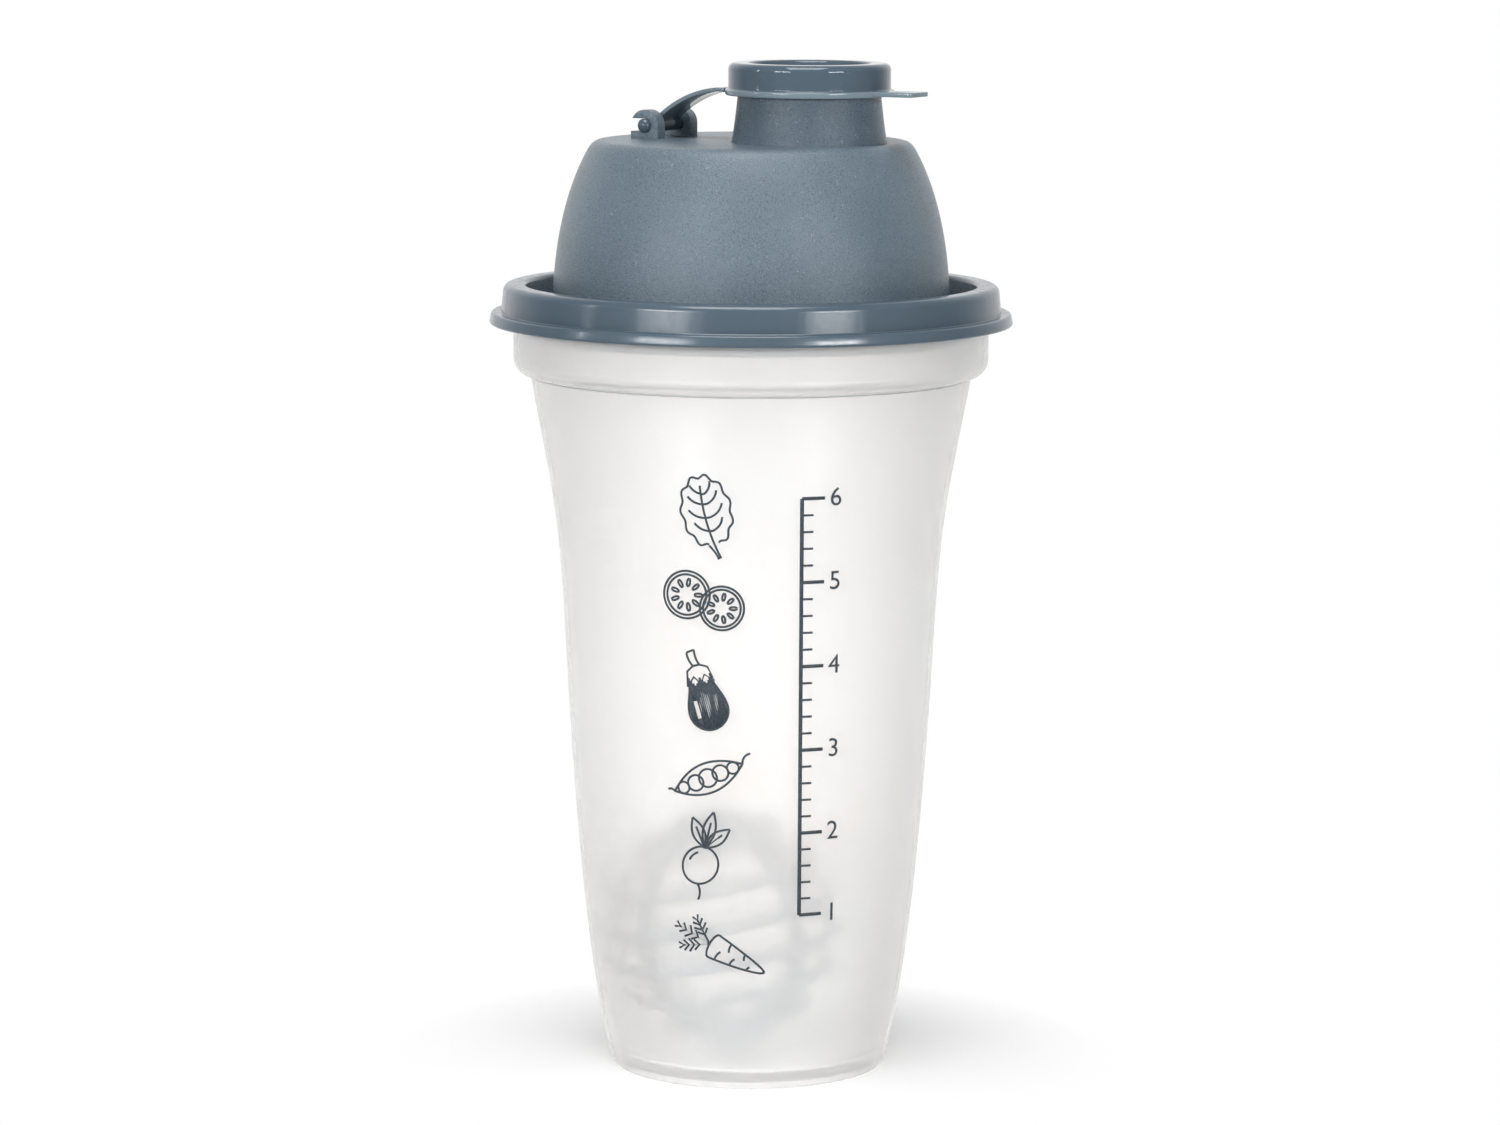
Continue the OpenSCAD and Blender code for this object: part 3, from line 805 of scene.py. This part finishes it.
# %% [markdown]
# ## Lid shell
# The rim straddles the tumbler's lip like an upside-down channel and flares into a pull bead. Behind it lies a deep
# gutter, and from the gutter's floor the dome rises to a flat top. Its inner face follows the outer one. The rim is
# polished and the rest is grained, so the faces further out than the gutter take a second material.

# %% Turn the lid shell
GAP = 0.3
ROOF_Z = LIP_Z + GAP
RIM_Z = ROOF_Z + 2.5
SKIRT_Z = RIM_Z - 7.8
CHANNEL_R = COLLAR_R + GAP
LEG_OUT_R = COLLAR_R - WALL - GAP
LEG_IN_R = LEG_OUT_R - 1.4
SKIRT_R = BEAD_R - 2.5
BEAD_H = 2.3
BEAD_ROUND = 0.6
BEAD_DRAFT = 0.25
BEAD_EDGE = 0.45
RIM_ROUND = 1.45
GUTTER_Z = RIM_Z - 7.3
GUTTER_ROUND = 0.8
GUTTER_DRAFT = 0.85
LID_WALL = 1.7
DOME_R = 39.2
SHOULDER = (32.3, TOP_Z - 1.9)
FLAT_R = 29.5
SKIRT_DRAFT = 0.2

dome_side = ease((DOME_R, GUTTER_Z), SHOULDER, (0.009, 0.089), (-0.076, 0.598), 30)
shoulder = ease(SHOULDER, (FLAT_R, TOP_Z), (0.22, 0.58), (0.5, 1), 12)
dome = [p for p in dome_side if p[1] > GUTTER_Z + GUTTER_ROUND] + shoulder[1:]
leg_z = GUTTER_Z - LID_WALL - 1.2
lid_profile = dome[::-1]
lid_profile += arc((DOME_R + GUTTER_ROUND, GUTTER_Z + GUTTER_ROUND), GUTTER_ROUND, -165, -90)
lid_profile += arc((LEG_IN_R - GUTTER_ROUND, GUTTER_Z + GUTTER_ROUND), GUTTER_ROUND, -90, 0)
lid_profile += arc((LEG_IN_R + GUTTER_DRAFT + 0.8, RIM_Z - 0.8), 0.8, 180, 90)
lid_profile += arc((SKIRT_R - SKIRT_DRAFT - RIM_ROUND, RIM_Z - RIM_ROUND), RIM_ROUND, 90, 0)
lid_profile += [(SKIRT_R + SKIRT_DRAFT, SKIRT_Z + BEAD_H + 0.12), (SKIRT_R + SKIRT_DRAFT + 0.1, SKIRT_Z + BEAD_H)]
lid_profile += arc((BEAD_R - BEAD_DRAFT - BEAD_ROUND, SKIRT_Z + BEAD_H - BEAD_ROUND), BEAD_ROUND, 90, 10)
lid_profile += arc((BEAD_R - BEAD_EDGE, SKIRT_Z + BEAD_EDGE), BEAD_EDGE, 8, -90)
lid_profile += [(CHANNEL_R + 0.3, SKIRT_Z), (CHANNEL_R, SKIRT_Z + 0.3), (CHANNEL_R, ROOF_Z), (LEG_OUT_R, ROOF_Z)]
lid_profile += [(LEG_OUT_R, leg_z + 0.5), (LEG_OUT_R - 0.5, leg_z), (LEG_IN_R, leg_z)]
lid_profile += [(LEG_IN_R, GUTTER_Z - LID_WALL), (DOME_R - LID_WALL, GUTTER_Z - LID_WALL)]
lid_profile += moved([p for p in dome if p[1] < TOP_Z - 0.01], -LID_WALL, -LID_WALL)
lid_profile += [(FLAT_R - LID_WALL, TOP_Z - LID_WALL)]
lid = turned("lid_shell_moulding", lid_profile)

# %% [markdown]
# The spout's bore goes right through the flat top. A cylinder cuts it with a Boolean modifier, as one would by hand.

# %% Cut the bore and give the rim its polish
BORE_R = 12.4


def cut(piece, cutter, operation="DIFFERENCE"):
    """Apply a Boolean modifier and remove the cutter."""
    modifier = piece.modifiers.new("cut", "BOOLEAN")
    modifier.operation = operation
    modifier.solver = "EXACT"
    modifier.object = cutter
    bpy.ops.object.select_all(action="DESELECT")
    piece.select_set(True)
    bpy.context.view_layer.objects.active = piece
    bpy.ops.object.modifier_apply(modifier=modifier.name)
    bpy.data.objects.remove(cutter)


bpy.ops.object.select_all(action="DESELECT")
bpy.ops.mesh.primitive_cylinder_add(
    vertices=96, radius=BORE_R * MM, depth=8 * MM, location=(SPOUT_X * MM, 0, TOP_Z * MM)
)
cut(lid, bpy.context.object)
smooth(lid)
finish_piece(lid, "lid", "lid_plastic", slate_grained, slate_polished, stands_for=["lid_shell"])
for face in lid.data.polygons:
    if sqrt(face.center.x**2 + face.center.y**2) > (LEG_IN_R + 0.45) * MM or face.normal.z < -0.2:
        face.material_index = 1

# %% [markdown]
# ## Pouring spout
# A short neck that flares towards its foot, with a rounded lip. The profile runs down the inside, out at the foot and
# back up the outside, so it closes on itself.

# %% Turn the spout
SPOUT_LIP_R = 13.7
LIP_T = SPOUT_LIP_R - BORE_R

side_top = SPOUT_Z - LIP_T / 2
spout_profile = [(BORE_R, side_top), (BORE_R, TOP_Z), (SPOUT_FOOT_R, TOP_Z), (SPOUT_FOOT_R - 0.02, TOP_Z + 0.3)]
spout_side = ease((SPOUT_FOOT_R, TOP_Z), (SPOUT_LIP_R, side_top), (0.45, 0.31), (0.76, 0.65))
spout_profile += [p for p in spout_side if p[1] > TOP_Z + 0.4]
spout_profile += arc((BORE_R + LIP_T / 2, side_top), LIP_T / 2, 15, 180, 12)
spout = turned("pour_spout_neck", spout_profile, (SPOUT_X, 0), closed=True)
# Painted shade: the neck takes the darker grained slate.
finish_piece(spout, "lid", "lid_plastic", slate_neck_painted_shade, stands_for=["pour_spout"])

# %% [markdown]
# ## Hinge clips
# Two C-shaped clips stand on the flat top and hold the pin by snapping round it from behind. Each starts as a short
# cylinder, gets a block for its foot and loses the pin's bore and the mouth of the C, by Booleans. A bevel then
# rounds the edges as the mould does.

# %% Model a clip and copy it
CLIP_R = 3.1
CLIP_W = 2.7
CLIP_SPACING = 12.6
PIN_H = PIN_Z - TOP_Z
JAW_REACH = 3.1
JAW_DROP = 1.15
HOOK_RISE = 1.38
PIN_GAP = 0.1


def block(x0, x1, y0, y1, z0, z1):
    """A cutting or joining block between two corners, in millimetres."""
    bpy.ops.object.select_all(action="DESELECT")
    bpy.ops.mesh.primitive_cube_add(
        size=1, location=((x0 + x1) / 2 * MM, (y0 + y1) / 2 * MM, (z0 + z1) / 2 * MM),
        scale=((x1 - x0) * MM, (y1 - y0) * MM, (z1 - z0) * MM),
    )
    bpy.ops.object.transform_apply(location=True, rotation=False, scale=True)
    return bpy.context.object


def lying_cylinder(radius, length, x, y, z, vertices=64):
    """A cylinder along Y, in millimetres."""
    bpy.ops.object.select_all(action="DESELECT")
    bpy.ops.mesh.primitive_cylinder_add(
        vertices=vertices, radius=radius * MM, depth=length * MM,
        location=(x * MM, y * MM, z * MM), rotation=(radians(90), 0, 0),
    )
    bpy.ops.object.transform_apply(location=True, rotation=True, scale=False)
    return bpy.context.object


def rounded(piece, width, segments=3, angle=35):
    """Bevel the sharp edges with a modifier and shade smoothly."""
    modifier = piece.modifiers.new("round", "BEVEL")
    modifier.width = width * MM
    modifier.segments = segments
    modifier.limit_method = "ANGLE"
    modifier.angle_limit = radians(angle)
    modifier.use_clamp_overlap = True
    bpy.ops.object.select_all(action="DESELECT")
    piece.select_set(True)
    bpy.context.view_layer.objects.active = piece
    bpy.ops.object.modifier_apply(modifier=modifier.name)
    smooth(piece, 40)


def clip(name, y):
    """One C-shaped clip about the pin, centred on y."""
    half = CLIP_W / 2
    piece = lying_cylinder(CLIP_R, CLIP_W, PIN_X, y, PIN_Z)
    piece.name = name
    piece.data.name = name
    cut(piece, block(PIN_X, PIN_X + CLIP_R, y - half, y + half, TOP_Z, PIN_Z), "UNION")
    cut(piece, block(PIN_X - JAW_REACH, PIN_X + 0.5, y - half, y + half, TOP_Z, PIN_Z - JAW_DROP), "UNION")
    cut(piece, block(PIN_X - 6, PIN_X + 6, y - 3, y + 3, TOP_Z - 4, TOP_Z))
    cut(piece, lying_cylinder(PIN_R + PIN_GAP, 8, PIN_X, y, PIN_Z))
    cut(piece, block(PIN_X - 6, PIN_X, y - 3, y + 3, PIN_Z - JAW_DROP, PIN_Z + HOOK_RISE))
    rounded(piece, 0.26)
    return piece


for side, node in ((-1, "hinge_clip_front"), (1, "hinge_clip_back")):
    holder = clip(node + "_moulding", side * CLIP_SPACING / 2)
    finish_piece(holder, "lid", "lid_plastic", slate_grained, stands_for=[node])

# %% [markdown]
# ## Stopper
# The ring cap is turned about the spout's axis. From the recess in its top the profile goes over the rounded rim and
# down the wall, out along the thin flange and back inside, where a shallow plug seals the bore. The thumb tab is a
# thin block with two rounded corners, and a Boolean welds it to the flange.

# %% Turn the ring cap
CAP_R = 15.9
CAP_WALL = 1.2
CAP_IN_R = CAP_R - CAP_WALL
FLANGE_T = 1.2
FLANGE_TOP_Z = FLANGE_Z + FLANGE_T
CAP_ROUND = 1.3
RECESS_R = 11.6
RECESS_FLOOR_R = 10.2
RECESS_DEPTH = 4
PLUG_R = 12.1
PLUG_TIP_R = 10.8
PLUG_Z = SPOUT_Z - 3
ROOF_UNDER_Z = CAP_TOP_Z - 1.9
FILLET = 0.35

recess_z = CAP_TOP_Z - RECESS_DEPTH
cap_profile = [(RECESS_FLOOR_R - 0.5, recess_z)]
cap_profile += arc((RECESS_FLOOR_R - 0.5, recess_z + 0.5), 0.5, -80, -10, 5)
cap_profile += arc((RECESS_R + 0.8, CAP_TOP_Z - 0.8), 0.8, 165, 90)
cap_profile += arc((CAP_R - CAP_ROUND, CAP_TOP_Z - CAP_ROUND), CAP_ROUND, 90, 0, 12)
cap_profile += arc((CAP_R + FILLET, FLANGE_TOP_Z + FILLET), FILLET, 180, 260, 6)
cap_profile += arc((FLANGE_R - 0.18, FLANGE_TOP_Z - 0.25), 0.18, 80, 0, 4)
cap_profile += arc((FLANGE_R - 0.3, FLANGE_Z + 0.3), 0.3, 0, -90, 5)
cap_profile += [(CAP_IN_R + 0.2, FLANGE_Z), (CAP_IN_R, FLANGE_Z + 0.2), (CAP_IN_R, ROOF_UNDER_Z)]
plug_side = ease((PLUG_TIP_R, PLUG_Z + 0.6), (PLUG_R, ROOF_UNDER_Z), (0.12, 0.4), (0.5, 0.72), 12)
cap_profile += plug_side[::-1]
cap_profile += arc((PLUG_TIP_R - 0.5, PLUG_Z + 0.5), 0.5, 0, -90)
stopper = turned("stopper_ring_cap", cap_profile, (SPOUT_X, 0))
print("cap profile with", len(cap_profile), "points")

# %% Weld the thumb tab to the flange
TAB_W = 7.4
TAB_T = 0.9
TAB_CORNER = 0.9

tab = block(SPOUT_X + CAP_R - 0.6, TAB_END_X, -TAB_W / 2, TAB_W / 2, FLANGE_TOP_Z - TAB_T - 0.04, FLANGE_TOP_Z - 0.04)
bpy.ops.object.mode_set(mode="EDIT")
bpy.ops.mesh.select_mode(type="EDGE")
bpy.ops.mesh.select_all(action="DESELECT")
bpy.ops.object.mode_set(mode="OBJECT")
for edge in tab.data.edges:
    ends = [tab.data.vertices[v].co for v in edge.vertices]
    upright = abs(ends[0].z - ends[1].z) > TAB_T * MM / 2
    edge.select = upright and ends[0].x > (TAB_END_X - 1) * MM
bpy.ops.object.mode_set(mode="EDIT")
bpy.ops.mesh.bevel(offset=TAB_CORNER * MM, segments=6)
bpy.ops.object.mode_set(mode="OBJECT")
rounded(tab, 0.16, 2)
cut(stopper, tab, "UNION")
smooth(stopper)
finish_piece(stopper, "stopper", "stopper_plastic", slate_stopper, slate_painted_paler, stands_for=["stopper_cap"])
# Painted light: faces of the flange and the tab outside the cap wall take the paler slate.
for face in stopper.data.polygons:
    radius = sqrt((face.center.x / MM - SPOUT_X) ** 2 + (face.center.y / MM) ** 2)
    if radius > CAP_R + FILLET and face.center.z / MM < FLANGE_TOP_Z + 0.02:
        face.material_index = 1

# %% [markdown]
# ## Strap and pin
# The strap is a thin band that leaves the flange level and bends down to the pin. It starts as a flat block at the
# flange. The spin operator sweeps its end face round the arc, and the other end is extruded and widened where it
# spreads into the flange. It flexes where it meets the flange.

# %% Sweep the strap
STRAP_W = 8.4
STRAP_FLARE_W = 13
STRAP_FLARE_L = 3.6
STRAP_T = 0.8
STRAP_RISE = 0.33
STRAP_END_X = SPOUT_X - FLANGE_R

bite = STRAP_T / 2 + STRAP_RISE
run = STRAP_END_X - PIN_X
fall = FLANGE_TOP_Z - PIN_Z
STRAP_R = (run**2 + fall**2 - bite**2) / (2 * (fall - bite))
arc_centre = Vector((STRAP_END_X, 0, FLANGE_TOP_Z - STRAP_R))
sweep = atan2(run, PIN_Z - arc_centre.z)


def pick_faces(piece, test):
    """Select, in edit mode, only the faces whose centre and normal pass a test."""
    bpy.ops.object.mode_set(mode="EDIT")
    bpy.ops.mesh.select_mode(type="FACE")
    bpy.ops.mesh.select_all(action="DESELECT")
    bpy.ops.object.mode_set(mode="OBJECT")
    for face in piece.data.polygons:
        face.select = test(face.center / MM, face.normal)
    bpy.ops.object.mode_set(mode="EDIT")


strap = block(
    STRAP_END_X - 0.05, STRAP_END_X, -STRAP_W / 2, STRAP_W / 2, FLANGE_TOP_Z - STRAP_T, FLANGE_TOP_Z
)
strap.name = "stopper_strap"
strap.data.name = "stopper_strap"
pick_faces(strap, lambda centre, normal: normal.x < -0.9)
bpy.ops.mesh.spin(steps=28, angle=sweep, center=arc_centre * MM, axis=(0, 1, 0))
bpy.ops.object.mode_set(mode="OBJECT")
lowest = min(v.co.z for v in strap.data.vertices) / MM
print(f"strap arc radius {STRAP_R:.1f}, swept {degrees(sweep):.1f} degrees, down to {lowest:.1f}")

# %% [markdown]
# The band spreads where it meets the flange. Its rings are widened by their distance from the flange, which bends the
# two long edges outwards, and the flat end is pushed on into the flange.

# %% Spread the strap's end


def spread_at(x):
    """How much wider the strap is at x than in its middle, as a factor."""
    t = max(0, min(1, (x - (STRAP_END_X - STRAP_FLARE_L)) / STRAP_FLARE_L))
    return mix(1, STRAP_FLARE_W / STRAP_W, t**2.2)


pick_faces(strap, lambda centre, normal: normal.x > 0.9)
bpy.ops.mesh.extrude_region_move(TRANSFORM_OT_translate={"value": (0.9 * MM, 0, 0)})
bpy.ops.object.mode_set(mode="OBJECT")
for vertex in strap.data.vertices:
    vertex.co.y *= spread_at(vertex.co.x / MM)
    if vertex.co.x > (STRAP_END_X + 0.5) * MM:
        vertex.co.z -= 0.05 * MM
bpy.ops.object.mode_set(mode="EDIT")
bpy.ops.mesh.select_all(action="SELECT")
bpy.ops.mesh.remove_doubles(threshold=0.002 * MM)
bpy.ops.mesh.normals_make_consistent(inside=False)
bpy.ops.object.mode_set(mode="OBJECT")
rounded(strap, 0.16, 2)
# Painted light: the strap takes the paler slate.
strap.data.materials.append(slate_painted_paler)
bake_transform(strap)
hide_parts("strap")
print("strap:", len(strap.data.polygons), "faces, blended between strap and stopper")

# %% [markdown]
# The pin is turned too, lying on its side: a round bar whose ends are domed, so that the clips snap over them.

# %% Turn the pin
PIN_DOME = 1.1
PIN_BAR = pin_high.y - PIN_DOME

dome_end = ease((PIN_R, PIN_BAR), (0.05, PIN_BAR + PIN_DOME), (0, 0.55), (0.45, 1), 10)
pin_profile = [(r, -z) for r, z in dome_end[::-1]] + dome_end
pin = turned("hinge_pin_bar", pin_profile, segments=48)
pin.rotation_euler = (radians(90), 0, 0)
pin.location = Vector((PIN_X, 0, PIN_Z)) * MM
bpy.ops.object.transform_apply(location=True, rotation=True, scale=False)
finish_piece(pin, "strap", "stopper_plastic", slate_stopper, stands_for=["hinge_pin"])

# %% [markdown]
# ## Mixing ball
# The ball is a cage: rings one above the other, two upright webs across them and a small cap at each pole. It lies
# tilted against the wall and shows as soft bands. The rings are tori, the webs are turned hoops set on edge, and the
# caps are cut from a sphere.

# %% Build the ball
BALL_R = 24
BALL_BAR = 2.3
RING_STEP = 7.2
RING_COUNT = 6
POLE_R = 6
WEB_T = 1.6
WEB_W = 3.6
BALL_SIDE = radians(210)
BALL_TILT = radians(10)

cage = []
bar_r = BALL_R - BALL_BAR / 2
for k in range(RING_COUNT):
    height = (k - (RING_COUNT - 1) / 2) * RING_STEP
    bpy.ops.object.select_all(action="DESELECT")
    bpy.ops.mesh.primitive_torus_add(
        major_radius=sqrt(bar_r**2 - height**2) * MM, minor_radius=BALL_BAR / 2 * MM,
        major_segments=96, minor_segments=20, location=(0, 0, height * MM),
    )
    bpy.ops.object.transform_apply(location=True, rotation=False, scale=False)
    cage.append(bpy.context.object)
for turn in (45, 135):
    half = WEB_T / 2
    hoop = [(bar_r, half - 0.3), (bar_r - 0.3, half), (bar_r - WEB_W + 0.3, half), (bar_r - WEB_W, half - 0.3)]
    hoop += [(r, -z) for r, z in hoop[::-1]] + [hoop[0]]
    web = turned("web", hoop, closed=True, segments=96)
    web.rotation_euler = (radians(90), 0, radians(turn))
    bpy.ops.object.transform_apply(location=False, rotation=True, scale=False)
    cage.append(web)
for side in (-1, 1):
    steps = 6
    widest = degrees(asin(POLE_R / BALL_R))
    outside = arc((0, 0), BALL_R, 90 - widest / steps, 90 - widest, steps - 1)
    inside = [(r * (BALL_R - BALL_BAR) / BALL_R, z * (BALL_R - BALL_BAR) / BALL_R) for r, z in outside[::-1]]
    pole = turned("pole", outside + inside, segments=48)
    pole.rotation_euler = (0 if side > 0 else pi, 0, 0)
    bpy.ops.object.transform_apply(location=False, rotation=True, scale=False)
    cage.append(pole)
bpy.ops.object.select_all(action="DESELECT")
for part in cage:
    part.select_set(True)
bpy.context.view_layer.objects.active = cage[0]
bpy.ops.object.join()
ball = bpy.context.object
ball.name = "mixing_ball_cage"
ball.data.name = "mixing_ball_cage"
ball.data.transform(Matrix.Rotation(BALL_SIDE, 4, "Z") @ Matrix.Rotation(BALL_TILT, 4, "Y"))
ball.data.transform(Matrix.Translation(BALL * MM))
smooth(ball)
finish_piece(ball, "ball", "ball_plastic", slate_ball, stands_for=["mixing_ball"])
